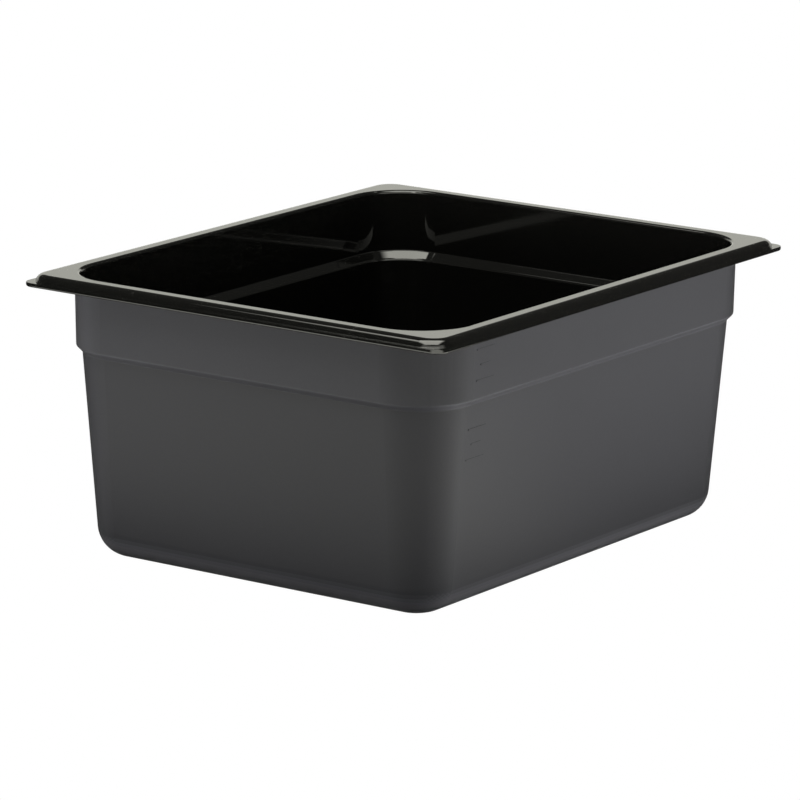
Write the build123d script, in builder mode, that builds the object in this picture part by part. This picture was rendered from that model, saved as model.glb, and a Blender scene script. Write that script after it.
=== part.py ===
from build123d import *

import math
import os

# A half-size food pan, 150 mm deep, moulded in one piece. Millimetres.
# The origin is on the table, at the centre of the base. +X runs along the short side,
# +Y along the long side and +Z up out of the mouth.

# Overall size, over the rim's outer lip
width = 265.0
length = 325.0
height = 152.0

# Every wall is a rounded rectangle whose corner arcs share one set of centres,
# this far in from the lip's outer edges. Insets are measured from those edges.
corner_centre = 44.0

# Rim: a thin flat lip outside, and inside it a raised band with a rounded shoulder
lip_bottom = height - 6.2
lip_thickness = 2.3
lip_top = lip_bottom + lip_thickness
lip_corner = 6.5
lip_top_radius = 0.3
lip_bottom_radius = 1.0
band_inset = 1.3
band_corner = 13.5
band_radius = 5.0
band_hollow = 0.4
mouth_radius = 1.7

# The band is hollow underneath, so that its skin is as thin as the walls
rim_skin = 2.1
channel_top = height - rim_skin
channel_radius = band_radius - rim_skin
channel_root = 1.0

# Outside of the well: collar, stacking shoulder, tapered wall and rounded foot
collar_inset = 9.85
collar_draft = 1.04
shoulder_top = height - 38.5
shoulder_bottom = height - 41.8
shoulder_draft = 45.0
shoulder_round = 1.5
shoulder_hollow = 1.0
well_draft = 4.63
foot_radius = 16.8

# Inside of the well: the same drafts as the outside, and a ledge that is higher and a
# little wider than the shoulder
wall = 2.9
floor = 3.2
ledge_top = height - 34.4
ledge_bottom = height - 38.3
ledge_round = 2.0
ledge_hollow = 0.8
floor_radius = foot_radius - wall

# Underside of the base: a shallow panel inside the ring that the pan stands on,
# and the pip that the moulding gate leaves at its centre
ring_width = 5.0
panel_corner = 8.0
panel_depth = 0.6
gate_radius = 2.5
gate_height = 0.4

# Fill-level marks, short raised bars beside a corner of one long wall
tick_centre = -108.0
tick_height = 0.9
tick_relief = 0.25
tick_root = 0.5
tick_spacing = 8.0
tick_lead = 5.0
tick_long = 16.0
tick_short = 9.0
collar_ticks = 3
well_ticks = 3

# How far from a level an edge's centre may lie and still count as being on it
level_margin = 0.05


def outline(inset):
    """The rounded rectangle that every wall follows, this far in from the lip's edge."""
    return RectangleRounded(width - 2 * inset, length - 2 * inset, corner_centre - inset)


def inward(draft, drop):
    """How far a wall with this draft moves in over this drop."""
    return drop * math.tan(math.radians(draft))


def level(part, z):
    """The edges that lie at height z."""
    return part.edges().filter_by_position(Axis.Z, z - level_margin, z + level_margin)


def wall_plane(inset, z, draft):
    """The plane of the outer +X wall, with its x along the wall and its y up the wall."""
    tilt = math.radians(draft)
    return Plane(
        origin=(width / 2 - inset, tick_centre, z),
        x_dir=(0, 1, 0),
        z_dir=(math.cos(tilt), 0, -math.sin(tilt)),
    )


# Insets of the outside where its slope changes
shoulder_inset = collar_inset + inward(collar_draft, height - shoulder_top)
well_inset = shoulder_inset + inward(shoulder_draft, shoulder_top - shoulder_bottom)
base_inset = well_inset + inward(well_draft, shoulder_bottom)

# The block that the outside of the well fills
with BuildPart() as outside:
    with BuildSketch(Plane.XY.offset(height)) as collar_sketch:
        outline(collar_inset)
    extrude(amount=shoulder_top - height, taper=collar_draft)
    with BuildSketch(Plane.XY.offset(shoulder_top)) as shoulder_sketch:
        outline(shoulder_inset)
    extrude(amount=shoulder_bottom - shoulder_top, taper=shoulder_draft)
    with BuildSketch(Plane.XY.offset(shoulder_bottom)) as well_sketch:
        outline(well_inset)
    extrude(amount=-shoulder_bottom, taper=well_draft)
    fillet(level(outside, shoulder_top), shoulder_round)
    fillet(level(outside, shoulder_bottom), shoulder_hollow)
    fillet(level(outside, 0), foot_radius)

# Insets of the inside where its slope changes
mouth_inset = collar_inset + wall
ledge_inset = mouth_inset + inward(collar_draft, height - ledge_top)
well_inside = ledge_inset + inward(shoulder_draft, ledge_top - ledge_bottom)

# The space inside the well
with BuildPart() as cavity:
    with BuildSketch(Plane.XY.offset(height)) as mouth_sketch:
        outline(mouth_inset)
    extrude(amount=ledge_top - height, taper=collar_draft)
    with BuildSketch(Plane.XY.offset(ledge_top)) as ledge_sketch:
        outline(ledge_inset)
    extrude(amount=ledge_bottom - ledge_top, taper=shoulder_draft)
    with BuildSketch(Plane.XY.offset(ledge_bottom)) as inner_well_sketch:
        outline(well_inside)
    extrude(amount=floor - ledge_bottom, taper=well_draft)
    fillet(level(cavity, ledge_top), ledge_hollow)
    fillet(level(cavity, ledge_bottom), ledge_round)
    fillet(level(cavity, floor), floor_radius)

# The raised band of the rim, with its rounded outer shoulder
with BuildPart() as band:
    with BuildSketch(Plane.XY.offset(lip_bottom)) as band_sketch:
        RectangleRounded(width - 2 * band_inset, length - 2 * band_inset, band_corner)
    extrude(amount=height - lip_bottom)
    fillet(level(band, height), band_radius)

# The hollow under the band, open downwards, with the collar standing in it
with BuildPart() as channel:
    with BuildSketch(Plane.XY.offset(lip_bottom)) as channel_sketch:
        skin_inset = band_inset + rim_skin
        RectangleRounded(
            width - 2 * skin_inset, length - 2 * skin_inset, band_corner - rim_skin
        )
    extrude(amount=channel_top - lip_bottom)
    fillet(level(channel, channel_top), channel_radius)
    add(outside.part, mode=Mode.SUBTRACT)
    ceiling = channel.faces().sort_by(Axis.Z)[-1]
    fillet(ceiling.inner_wires()[0].edges(), channel_root)

with BuildPart() as pan:
    # Flat outer lip and the band on it, blended where they meet
    with BuildSketch(Plane.XY.offset(lip_bottom)) as lip_sketch:
        RectangleRounded(width, length, lip_corner)
    extrude(amount=lip_thickness)
    fillet(level(pan, lip_top), lip_top_radius)
    fillet(level(pan, lip_bottom), lip_bottom_radius)
    add(band.part)
    lip_flat = pan.faces().filter_by(Plane.XY).filter_by_position(
        Axis.Z, lip_top - level_margin, lip_top + level_margin
    )[0]
    fillet(lip_flat.inner_wires()[0].edges(), band_hollow)
    # Well, hollowed out through the mouth
    add(channel.part, mode=Mode.SUBTRACT)
    add(outside.part)
    add(cavity.part, mode=Mode.SUBTRACT)
    rim_flat = pan.faces().sort_by(Axis.Z)[-1]
    fillet(rim_flat.inner_wires()[0].edges(), mouth_radius)
    # Panel under the base, and the gate's pip
    panel_inset = base_inset + foot_radius + ring_width
    with BuildSketch(Plane.XY) as panel_sketch:
        RectangleRounded(width - 2 * panel_inset, length - 2 * panel_inset, panel_corner)
    extrude(amount=panel_depth, taper=shoulder_draft, mode=Mode.SUBTRACT)
    with BuildSketch(Plane.XY.offset(panel_depth)) as gate_sketch:
        Circle(gate_radius)
    extrude(amount=-gate_height)
    # Fill-level marks
    for count, inset, top, draft in (
        (collar_ticks, collar_inset, height, collar_draft),
        (well_ticks, well_inset, shoulder_bottom, well_draft),
    ):
        for step in range(1, count + 1):
            z = top - step * tick_spacing - tick_lead
            face = wall_plane(inset + inward(draft, top - z), z, draft)
            with BuildSketch(face.offset(-tick_root)) as tick_sketch:
                SlotOverall(tick_long if step % 2 else tick_short, tick_height)
            extrude(amount=tick_root + tick_relief)

os.makedirs("parts", exist_ok=True)
pan.part.label = "pan"
export_step(pan.part, "parts/pan.step")
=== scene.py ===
import math

import bpy
from mathutils import Matrix, Vector


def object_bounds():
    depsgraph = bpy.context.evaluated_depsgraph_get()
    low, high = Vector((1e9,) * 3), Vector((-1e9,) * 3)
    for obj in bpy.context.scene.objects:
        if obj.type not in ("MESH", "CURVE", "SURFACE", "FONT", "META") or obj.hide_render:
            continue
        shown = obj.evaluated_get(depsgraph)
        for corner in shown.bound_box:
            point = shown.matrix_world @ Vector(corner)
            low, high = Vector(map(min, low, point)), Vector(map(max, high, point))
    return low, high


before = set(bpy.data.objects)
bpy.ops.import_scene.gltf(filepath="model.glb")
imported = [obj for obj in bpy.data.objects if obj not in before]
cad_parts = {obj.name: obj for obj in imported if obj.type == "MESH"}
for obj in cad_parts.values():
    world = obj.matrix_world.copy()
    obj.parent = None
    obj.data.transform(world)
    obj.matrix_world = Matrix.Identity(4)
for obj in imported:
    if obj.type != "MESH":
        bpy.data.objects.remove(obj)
cad_low, cad_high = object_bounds()
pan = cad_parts["pan"]

# Camera: bearing and tilt in degrees, distances in metres, lens and sensor in millimetres, and
# shifts in sensor widths. It aims AIM_DEPTH below the middle of the rim's top.
AZIMUTH = 35.08
ELEVATION = 13.04
ROLL = 0.603
DISTANCE = 2.8034
AIM_DEPTH = 0.060
SENSOR = 36.0
LENS = 237.65
SHIFT_X = -0.01201
SHIFT_Y = -0.04185
CLIP_END = 100.0

# Softbox above the pan: its edges and its height over the rim, in metres. LIGHT is its radiance
# in mirror reflections and SPREAD for diffuse rays, where 1.0 is paper white, here and below.
# Over FADE it falls to RIM of its light at the left edge, and to none at the right edge.
SOFTBOX_HEIGHT = 1.15
SOFTBOX_LEFT = -0.93
SOFTBOX_RIGHT = 0.65
SOFTBOX_BACK = -0.22
SOFTBOX_FRONT = 1.09
SOFTBOX_LIGHT = 5.2
SOFTBOX_SPREAD = 0.8
SOFTBOX_FADE = 0.30
SOFTBOX_RIM = 0.35

# What mirror reflections find in the room: a backdrop behind the pan and a card in front of it.
# TURN is how much a direction points to the camera, RISE how much it points up. Each pair is
# where the surface ends and where it is at full strength. ROOM_LIGHT is added everywhere, and
# ROOM_WARMTH is the share of blue that the whole studio lacks when mirrored.
BACKDROP_LIGHT = 0.95
BACKDROP_TURN = (-0.55, -0.75)
BACKDROP_RISE = (0.33, 0.27)
CARD_LIGHT = 1.3
CARD_TURN = (0.5, 0.75)
CARD_RISE = (0.72, 0.55)
ROOM_LIGHT = 0.08
ROOM_WARMTH = 0.10

# What diffuse rays find in the room: a level, a slope towards the camera's right, and a rise to
# both sides. WALL_SPREAD scales it above the floor, where it fades out as a direction points up
# by WALL_RISE. SPREAD_CORE, in metres, softens it on the floor near the pan.
SPREAD_LEVEL = 0.02
SPREAD_RIGHT = 1.2
SPREAD_SIDES = 6.6
WALL_SPREAD = 1.12
WALL_RISE = (0.36, 0.1)
SPREAD_CORE = 0.10

# Floor, in metres but for FLOOR_MIRRORED, its radiance in mirror reflections. There it ends at
# the sweep's sides and back, from nothing to full over each pair. Except to the camera it also
# darkens next to the pan over the CONTACT_SHADOW distances from the pan's box: a painted shadow
# of the pan.
FLOOR_SIZE = 12.0
FLOOR_GAP = 0.0002
FLOOR_MIRRORED = 2.4
SWEEP_SIDE = (0.62, 0.42)
SWEEP_BACK = (0.0, 0.12)
CONTACT_SHADOW = (-0.03, 0.14)

# Plastic. Tones are linear reflectances, and BLUE scales their blue. Noise scales are features
# per metre. Reliefs are in metres, and so are depths, measured down from the rim's top, and
# foot heights, over the table.
IOR = 1.58
MOTTLE_SCALE = 26.0
GRAIN_SCALE = 950.0
FLOW_SCALE = 14.0
FLOW_STRETCH = Vector((1.0, 1.0, 0.45))
FLOW_RELIEF = 0.00012

# Gloss: the rim and the inside. SHADE is a painted shade that darkens inside faces by how much
# they point to the camera's right. A painted light pales the inside towards the mouth: it fades
# in from
# PAINTED_LIGHT_DEPTH up to the rim.
GLOSS_TONE = 0.0025
INSIDE_PAINTED_LIGHT = 0.0014
GLOSS_SHADE = 0.35
GLOSS_BLUE = 0.85
GLOSS_ROUGHNESS = 0.05
GLOSS_SMEAR = 0.03
GLOSS_SPECULAR = 0.5
PAINTED_LIGHT_DEPTH = 0.045
PAINTED_LIGHT_MOTTLE = 0.8
SHADE_TURN = (0.2, 0.7)

# Satin: the outside below the lip. A painted sheen pales it at grazing angles. Over LIP_BLEND
# below
# LIP_DEPTH the gloss gives way to it.
SATIN_TONE = 0.026
SATIN_PAINTED_SHEEN = 0.04
PAINTED_SHEEN_END = 0.45
SATIN_BLUE = 1.09
SATIN_ROUGHNESS = 0.42
SATIN_SPECULAR = 0.12
SATIN_SMEAR = 0.08
SATIN_MOTTLE = 0.10
SATIN_GRAIN = 0.16
GRAIN_RELIEF = 0.000012
LIP_DEPTH = 0.0062
LIP_BLEND = 0.0006
UP_BIAS = 0.05

# Painted light: gains that pale the satin where it leans outwards (shoulder's slope, foot) and on
# the collar.
# TURN is how much a face points to the camera's right, LEAN how much it points up. The slope's
# gain goes from SLOPE_PAINTED_GAIN to SLOPE_RIGHT_PAINTED_GAIN over SLOPE_TURN, and down FOOT_TOP to FOOT_PAINTED_GAIN.
SLOPE_PAINTED_GAIN = 1.5
SLOPE_RIGHT_PAINTED_GAIN = 1.9
SLOPE_TURN = (0.1, 0.45)
SLOPE_LEAN = (-0.1, -0.6)
FOOT_PAINTED_GAIN = 2.5
FOOT_TOP = (0.02, 0.04)
COLLAR_PAINTED_GAIN = 1.3
COLLAR_TURN = (0.7, 0.1)

# Marks of use: hair scratches, and wear on the shoulder's crest and the foot. SCRATCH_WIDTH is a
# span of the noise's value to either side of SCRATCH_LEVEL, and the other widths are in metres.
SCRATCH_SCALE = 55.0
SCRATCH_WIDTH = 0.0035
SCRATCH_TONE = 0.012
SCRATCH_RELIEF = 0.00002
SCRATCH_LEVEL = 0.5
SCRATCH_PATCH = (0.55, 0.66)
PATCH_SHIFT = Vector((3.1, 1.7, 0.9))
WEAR_TONE = 0.003
WEAR_BREAKS = (0.35, 0.65)
WEAR_LEAST = 0.4
SHOULDER_DEPTH = 0.0388
CREST_WIDTH = 0.0010
FOOT_WEAR = 0.006

# Keeps divisions and roots clear of zero
TINY = 1e-4


def horizontal(azimuth):
    """The level unit vector that points towards a camera at this azimuth."""
    turn = math.radians(azimuth)
    return Vector((math.sin(turn), -math.cos(turn), 0))


TO_CAMERA = horizontal(AZIMUTH)
ACROSS = horizontal(AZIMUTH + 90)


class Graph:
    """Short calls for building a node tree."""

    def __init__(self, tree):
        self.tree = tree
        self.nodes = tree.nodes
        self.nodes.clear()

    def put(self, socket, value):
        if isinstance(value, bpy.types.NodeSocket):
            self.tree.links.new(value, socket)
        elif value is not None:
            socket.default_value = value

    def node(self, kind, **settings):
        made = self.nodes.new(kind)
        for name, value in settings.items():
            setattr(made, name, value)
        return made

    def around_one(self, value, swing):
        """Turns a value from 0 to 1 into a factor from 1 - swing / 2 to 1 + swing / 2."""
        return self.math("MULTIPLY_ADD", value, swing, 1.0 - swing / 2)

    def math(self, operation, a, b=None, c=None):
        made = self.node("ShaderNodeMath", operation=operation)
        for socket, value in zip(made.inputs, (a, b, c)):
            self.put(socket, value)
        return made.outputs[0]

    def vector(self, operation, a, b=None):
        made = self.node("ShaderNodeVectorMath", operation=operation)
        self.put(made.inputs[0], a)
        self.put(made.inputs[1], b)
        return made.outputs["Value" if operation in ("DOT_PRODUCT", "LENGTH") else "Vector"]

    def ramp(self, value, low, high, start=0.0, end=1.0):
        """A smooth change from start to end as value goes from low to high."""
        made = self.node("ShaderNodeMapRange", interpolation_type="SMOOTHSTEP")
        if low > high:
            low, high, start, end = high, low, end, start
        for name, number in (
            ("Value", value),
            ("From Min", low),
            ("From Max", high),
            ("To Min", start),
            ("To Max", end),
        ):
            self.put(made.inputs[name], number)
        return made.outputs["Result"]

    def noise(self, vector, scale, detail, roughness):
        made = self.node("ShaderNodeTexNoise")
        for name, number in (
            ("Vector", vector),
            ("Scale", scale),
            ("Detail", detail),
            ("Roughness", roughness),
        ):
            self.put(made.inputs[name], number)
        return made.outputs["Fac"]

    def split(self, vector):
        made = self.node("ShaderNodeSeparateXYZ")
        self.put(made.inputs[0], vector)
        return made.outputs


def make_camera():
    azimuth, elevation, roll = (math.radians(v) for v in (AZIMUTH, ELEVATION, ROLL))
    back = TO_CAMERA * math.cos(elevation) + Vector((0, 0, math.sin(elevation)))
    right = Vector((math.cos(azimuth), math.sin(azimuth), 0))
    up = back.cross(right)
    turned_right = math.cos(roll) * right + math.sin(roll) * up
    turned_up = math.cos(roll) * up - math.sin(roll) * right
    centre = (cad_low + cad_high) / 2
    aim = Vector((centre.x, centre.y, cad_high.z - AIM_DEPTH))
    data = bpy.data.cameras.new("camera")
    data.sensor_width = SENSOR
    data.lens = LENS
    data.shift_x = SHIFT_X
    data.shift_y = SHIFT_Y
    data.clip_end = CLIP_END
    camera = bpy.data.objects.new("camera", data)
    rotation = Matrix((turned_right, turned_up, back)).transposed()
    camera.matrix_world = Matrix.Translation(aim + back * DISTANCE) @ rotation.to_4x4()
    bpy.context.scene.collection.objects.link(camera)
    bpy.context.scene.camera = camera


def sheet(name, centre, along, depth, width, height):
    """A flat rectangle, width by height, with its centre and its two directions."""
    corners = [
        centre + along * (width / 2 * i) + depth * (height / 2 * j)
        for i, j in ((-1, -1), (1, -1), (1, 1), (-1, 1))
    ]
    mesh = bpy.data.meshes.new(name)
    mesh.from_pydata(corners, [], [(0, 1, 2, 3)])
    thing = bpy.data.objects.new(name, mesh)
    bpy.context.scene.collection.objects.link(thing)
    return thing


def spread_light(g, sideways):
    """What diffuse rays find in a direction: more light from the sides, most from the right."""
    slope = g.math("MULTIPLY_ADD", sideways, SPREAD_SIDES, SPREAD_RIGHT)
    return g.math("MULTIPLY_ADD", sideways, slope, SPREAD_LEVEL)


def studio_colour(g, path):
    """White, and a little warmer where it is mirrored in the plastic."""
    tint = g.node("ShaderNodeCombineXYZ")
    g.put(tint.inputs[0], 1.0)
    g.put(tint.inputs[1], 1.0)
    g.put(tint.inputs[2], g.math("MULTIPLY_ADD", path["Is Glossy Ray"], -ROOM_WARMTH, 1.0))
    return tint.outputs[0]


def make_world():
    world = bpy.data.worlds.new("studio")
    bpy.context.scene.world = world
    world.use_nodes = True
    g = Graph(world.node_tree)
    path = g.node("ShaderNodeLightPath").outputs
    way = g.node("ShaderNodeTexCoord").outputs["Generated"]
    rise = g.split(way)[2]
    level = g.math("MULTIPLY_ADD", rise, g.math("MULTIPLY", rise, -1.0), 1.0)
    flat = g.math("SQRT", g.math("MAXIMUM", level, TINY))
    front = g.math("DIVIDE", g.vector("DOT_PRODUCT", way, TO_CAMERA), flat)
    sideways = g.math("DIVIDE", g.vector("DOT_PRODUCT", way, ACROSS), flat)
    backdrop = g.math("MULTIPLY", g.ramp(front, *BACKDROP_TURN), g.ramp(rise, *BACKDROP_RISE))
    card = g.math("MULTIPLY", g.ramp(front, *CARD_TURN), g.ramp(rise, *CARD_RISE))
    mirrored = g.math("MULTIPLY_ADD", backdrop, BACKDROP_LIGHT, ROOM_LIGHT)
    mirrored = g.math("MULTIPLY_ADD", card, CARD_LIGHT, mirrored)
    low_down = g.ramp(rise, *WALL_RISE, 0.0, WALL_SPREAD)
    spread = g.math("MULTIPLY", spread_light(g, sideways), low_down)
    light = g.math("MULTIPLY_ADD", path["Is Diffuse Ray"], spread, path["Is Camera Ray"])
    light = g.math("MULTIPLY_ADD", path["Is Glossy Ray"], mirrored, light)
    background = g.node("ShaderNodeBackground")
    g.put(background.inputs["Color"], studio_colour(g, path))
    g.put(background.inputs["Strength"], light)
    out = g.node("ShaderNodeOutputWorld")
    g.put(out.inputs["Surface"], background.outputs[0])


def make_softbox():
    origin = Vector((0, 0, cad_high.z + SOFTBOX_HEIGHT))
    middle = ACROSS * (SOFTBOX_LEFT + SOFTBOX_RIGHT) / 2
    middle += TO_CAMERA * (SOFTBOX_BACK + SOFTBOX_FRONT) / 2
    size = (SOFTBOX_RIGHT - SOFTBOX_LEFT, SOFTBOX_FRONT - SOFTBOX_BACK)
    box = sheet("softbox", origin + middle, ACROSS, TO_CAMERA, *size)
    box.visible_camera = False
    material = bpy.data.materials.new("softbox")
    material.use_nodes = True
    g = Graph(material.node_tree)
    place = g.node("ShaderNodeNewGeometry").outputs["Position"]
    across = g.vector("DOT_PRODUCT", place, ACROSS)
    fade = g.math(
        "MULTIPLY",
        g.ramp(across, SOFTBOX_LEFT, SOFTBOX_LEFT + SOFTBOX_FADE, SOFTBOX_RIM, 1.0),
        g.ramp(across, SOFTBOX_RIGHT, SOFTBOX_RIGHT - SOFTBOX_FADE),
    )
    path = g.node("ShaderNodeLightPath").outputs
    full = g.ramp(path["Is Diffuse Ray"], 0.0, 1.0, SOFTBOX_LIGHT, SOFTBOX_SPREAD)
    light = g.math("MULTIPLY", fade, full)
    glow = g.node("ShaderNodeEmission")
    g.put(glow.inputs["Color"], studio_colour(g, path))
    g.put(glow.inputs["Strength"], light)
    out = g.node("ShaderNodeOutputMaterial")
    g.put(out.inputs["Surface"], glow.outputs[0])
    box.data.materials.append(material)


def make_floor():
    centre = Vector((0, 0, cad_low.z - FLOOR_GAP))
    floor = sheet("floor", centre, Vector((1, 0, 0)), Vector((0, 1, 0)), FLOOR_SIZE, FLOOR_SIZE)
    material = bpy.data.materials.new("floor")
    material.use_nodes = True
    g = Graph(material.node_tree)
    place = g.node("ShaderNodeNewGeometry").outputs["Position"]
    path = g.node("ShaderNodeLightPath").outputs
    x, y, _ = g.split(place)
    gap = g.math(
        "MAXIMUM",
        g.math("SUBTRACT", g.math("ABSOLUTE", x), cad_high.x),
        g.math("SUBTRACT", g.math("ABSOLUTE", y), cad_high.y),
    )
    # Painted shadow of the pan in the floor's light: darker next to the pan's box, except to the
    # camera
    out_of_painted_shadow = g.ramp(gap, *CONTACT_SHADOW)
    across = g.vector("DOT_PRODUCT", place, ACROSS)
    front = g.ramp(g.vector("DOT_PRODUCT", place, TO_CAMERA), *SWEEP_BACK)
    between_sides = g.ramp(g.math("ABSOLUTE", across), *SWEEP_SIDE)
    mirrored = g.math("MULTIPLY", between_sides, out_of_painted_shadow)
    mirrored = g.math("MULTIPLY", mirrored, front)
    mirrored = g.math("MULTIPLY_ADD", mirrored, FLOOR_MIRRORED, ROOM_LIGHT)
    reach = g.math("ADD", g.vector("LENGTH", place), SPREAD_CORE)
    spread = g.math("MULTIPLY", spread_light(g, g.math("DIVIDE", across, reach)), out_of_painted_shadow)
    light = g.math("MULTIPLY", path["Is Diffuse Ray"], spread)
    light = g.math("MULTIPLY_ADD", path["Is Glossy Ray"], mirrored, light)
    light = g.math("ADD", path["Is Camera Ray"], light)
    glow = g.node("ShaderNodeEmission")
    g.put(glow.inputs["Color"], studio_colour(g, path))
    g.put(glow.inputs["Strength"], light)
    out = g.node("ShaderNodeOutputMaterial")
    g.put(out.inputs["Surface"], glow.outputs[0])
    floor.data.materials.append(material)


def outside_and_satin(g, position, normal):
    """Two masks: what faces away from the middle, and the part of it below the lip.

    A level face that looks up counts as inside.
    """
    px, py, pz = g.split(position)
    nx, ny, nz = g.split(normal)
    outward = g.math("MULTIPLY_ADD", nx, px, g.math("MULTIPLY", ny, py))
    outward = g.math("MULTIPLY_ADD", nz, -UP_BIAS, outward)
    lip_bottom = cad_high.z - LIP_DEPTH
    below_lip = g.ramp(pz, lip_bottom, lip_bottom - LIP_BLEND)
    outside = g.math("GREATER_THAN", outward, 0.0)
    return outside, g.math("MULTIPLY", outside, below_lip)


def scratches(g, position):
    """Fine hair-like marks, as 1 on the mark: contour lines of a noise, kept in a few patches."""
    field = g.noise(position, SCRATCH_SCALE, detail=1.0, roughness=0.4)
    offset = g.math("ABSOLUTE", g.math("SUBTRACT", field, SCRATCH_LEVEL))
    line = g.ramp(offset, SCRATCH_WIDTH, 0.0)
    shifted = g.vector("ADD", position, PATCH_SHIFT)
    field = g.noise(shifted, SCRATCH_SCALE / 2, detail=2.0, roughness=0.6)
    patch = g.ramp(field, *SCRATCH_PATCH)
    return g.math("MULTIPLY", line, patch)


def worn_edges(g, position, grain):
    """Where handling and stacking rub the satin: the shoulder's crest and the foot."""
    pz = g.split(position)[2]
    crest = cad_high.z - SHOULDER_DEPTH
    rubbed = g.ramp(g.math("ABSOLUTE", g.math("SUBTRACT", pz, crest)), CREST_WIDTH, 0.0)
    foot = g.ramp(pz, FOOT_WEAR, 0.0)
    broken = g.ramp(grain, *WEAR_BREAKS, WEAR_LEAST, 1.0)
    return g.math("MULTIPLY", g.math("MAXIMUM", rubbed, foot), broken)


def painted_slope_light(g, position, normal):
    """Painted light for faces that lean outwards: a gain on the shoulder's, most on the right,
    and on the foot's.
    """
    nz = g.split(normal)[2]
    pz = g.split(position)[2]
    turn = g.vector("DOT_PRODUCT", normal, ACROSS)
    shoulder = g.ramp(turn, *SLOPE_TURN, SLOPE_PAINTED_GAIN, SLOPE_RIGHT_PAINTED_GAIN)
    gain = g.ramp(pz, *FOOT_TOP, FOOT_PAINTED_GAIN, shoulder)
    return g.ramp(nz, *SLOPE_LEAN, 1.0, gain)


def painted_collar_light(g, position, normal):
    """Painted light for the collar: a gain where it faces to the camera's left or to the camera.
    """
    pz = g.split(position)[2]
    crest = cad_high.z - SHOULDER_DEPTH
    collar = g.ramp(pz, crest - CREST_WIDTH, crest + CREST_WIDTH)
    turn = g.vector("DOT_PRODUCT", normal, ACROSS)
    painted_extra = g.ramp(turn, *COLLAR_TURN, 0.0, COLLAR_PAINTED_GAIN - 1.0)
    return g.math("MULTIPLY_ADD", collar, painted_extra, 1.0)


def satin_tone(g, position, normal, grain, mottle):
    """A fine texture with a painted sheen that pales it at grazing angles, painted light on its
    slopes, foot and collar, and worn a little on its crests.
    """
    # At this blend, Facing is 1 minus the cosine of the angle that the face is seen at
    weight = g.node("ShaderNodeLayerWeight")
    g.put(weight.inputs["Blend"], 0.5)
    # Painted sheen: the satin pales as a face is seen more at a slant, up to a cap
    painted_sheen = g.math("MINIMUM", weight.outputs["Facing"], PAINTED_SHEEN_END)
    pale = g.math("MULTIPLY_ADD", painted_sheen, SATIN_PAINTED_SHEEN, SATIN_TONE)
    # The painted light on slope, foot and collar first, then the random mottle and grain
    for factor in (
        painted_slope_light(g, position, normal),
        painted_collar_light(g, position, normal),
        g.around_one(mottle, SATIN_MOTTLE),
        g.around_one(grain, SATIN_GRAIN),
    ):
        pale = g.math("MULTIPLY", pale, factor)
    return g.math("MULTIPLY_ADD", worn_edges(g, position, grain), WEAR_TONE, pale)


def gloss_tone(g, position, normal, outside, mottle, marks):
    """Near black, paler on scratches. Inside, a faint painted light near the mouth, and the
    painted shade.
    """
    pz = g.split(position)[2]
    inside = g.math("SUBTRACT", 1.0, outside)
    # Painted light: inside faces paler towards the mouth and darker deeper down, with a random
    # mottle
    painted_light = g.ramp(pz, cad_high.z - PAINTED_LIGHT_DEPTH, cad_high.z, 0.0, INSIDE_PAINTED_LIGHT)
    painted_light = g.math("MULTIPLY", painted_light, inside)
    dark = g.math("MULTIPLY", painted_light, g.around_one(mottle, PAINTED_LIGHT_MOTTLE))
    dark = g.math("ADD", dark, GLOSS_TONE)
    # Painted shade: inside faces that point to the camera's right are darker
    turn = g.vector("DOT_PRODUCT", normal, ACROSS)
    shade = g.math("MULTIPLY", g.ramp(turn, *SHADE_TURN, 0.0, GLOSS_SHADE), inside)
    dark = g.math("MULTIPLY", dark, g.math("SUBTRACT", 1.0, shade))
    return g.math("MULTIPLY_ADD", marks, SCRATCH_TONE, dark)


def relief(g, height, distance, below=None, invert=False):
    """A bump on the normal below: height is from 0 to 1, and distance is 1's height in metres."""
    bump = g.node("ShaderNodeBump", invert=invert)
    g.put(bump.inputs["Height"], height)
    g.put(bump.inputs["Distance"], distance)
    g.put(bump.inputs["Normal"], below)
    return bump.outputs["Normal"]


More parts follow.
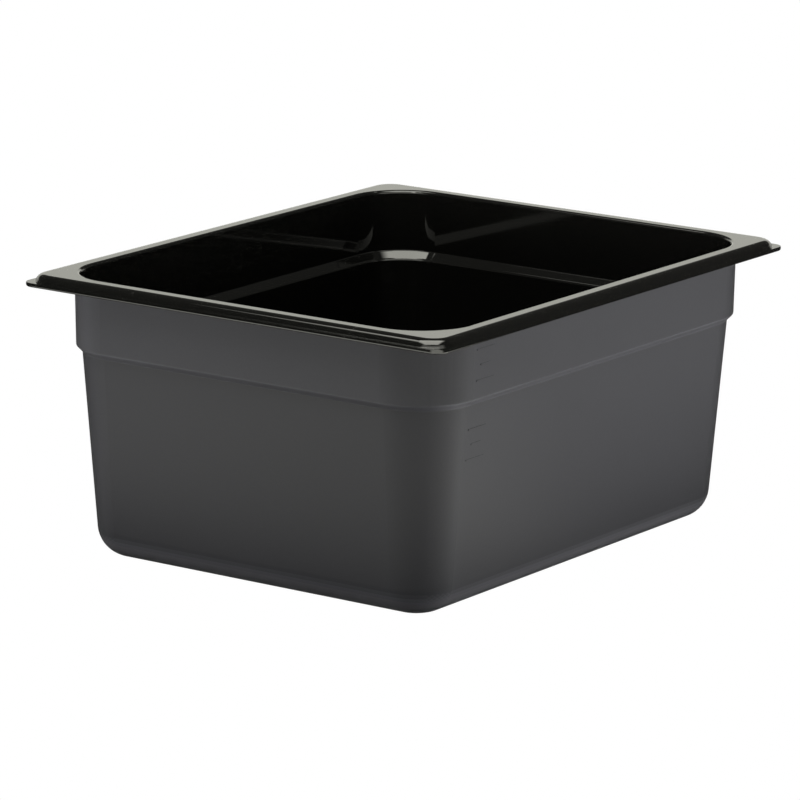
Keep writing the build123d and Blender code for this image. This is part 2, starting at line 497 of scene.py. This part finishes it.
def make_plastic():
    material = bpy.data.materials.new("black_plastic")
    material.use_nodes = True
    g = Graph(material.node_tree)
    geometry = g.node("ShaderNodeNewGeometry").outputs
    position = geometry["Position"]
    normal = geometry["True Normal"]
    outside, satin = outside_and_satin(g, position, normal)
    grain = g.noise(position, GRAIN_SCALE, detail=2.0, roughness=0.65)
    mottle = g.noise(position, MOTTLE_SCALE, detail=4.0, roughness=0.6)
    stretched = g.vector("MULTIPLY", position, FLOW_STRETCH)
    flow = g.noise(stretched, FLOW_SCALE, detail=1.0, roughness=0.4)
    marks = scratches(g, position)

    pale = satin_tone(g, position, normal, grain, mottle)
    dark = gloss_tone(g, position, normal, outside, mottle, marks)
    tone = g.math("MULTIPLY_ADD", satin, g.math("SUBTRACT", pale, dark), dark)
    blue = g.math("MULTIPLY", tone, g.ramp(satin, 0.0, 1.0, GLOSS_BLUE, SATIN_BLUE))
    colour = g.node("ShaderNodeCombineXYZ")
    for socket, value in zip(colour.inputs, (tone, tone, blue)):
        g.put(socket, value)

    smear = g.math("MULTIPLY_ADD", mottle, GLOSS_SMEAR, GLOSS_ROUGHNESS - GLOSS_SMEAR / 2)
    frosted = g.math("MULTIPLY_ADD", mottle, SATIN_SMEAR, SATIN_ROUGHNESS - SATIN_SMEAR / 2)
    roughness = g.math("MULTIPLY_ADD", satin, g.math("SUBTRACT", frosted, smear), smear)

    texture = relief(g, g.math("MULTIPLY", grain, satin), GRAIN_RELIEF)
    waves = relief(g, flow, FLOW_RELIEF, texture)
    nicks = relief(g, marks, SCRATCH_RELIEF, waves, invert=True)

    shader = g.node("ShaderNodeBsdfPrincipled")
    g.put(shader.inputs["Base Color"], colour.outputs[0])
    g.put(shader.inputs["Roughness"], roughness)
    specular = g.ramp(satin, 0.0, 1.0, GLOSS_SPECULAR, SATIN_SPECULAR)
    g.put(shader.inputs["Specular IOR Level"], specular)
    g.put(shader.inputs["IOR"], IOR)
    g.put(shader.inputs["Normal"], nicks)
    out = g.node("ShaderNodeOutputMaterial")
    g.put(out.inputs["Surface"], shader.outputs[0])
    for slot in pan.material_slots:
        slot.material = material


make_camera()
make_world()
make_softbox()
make_floor()
make_plastic()
bpy.context.scene.view_settings.view_transform = "Standard"
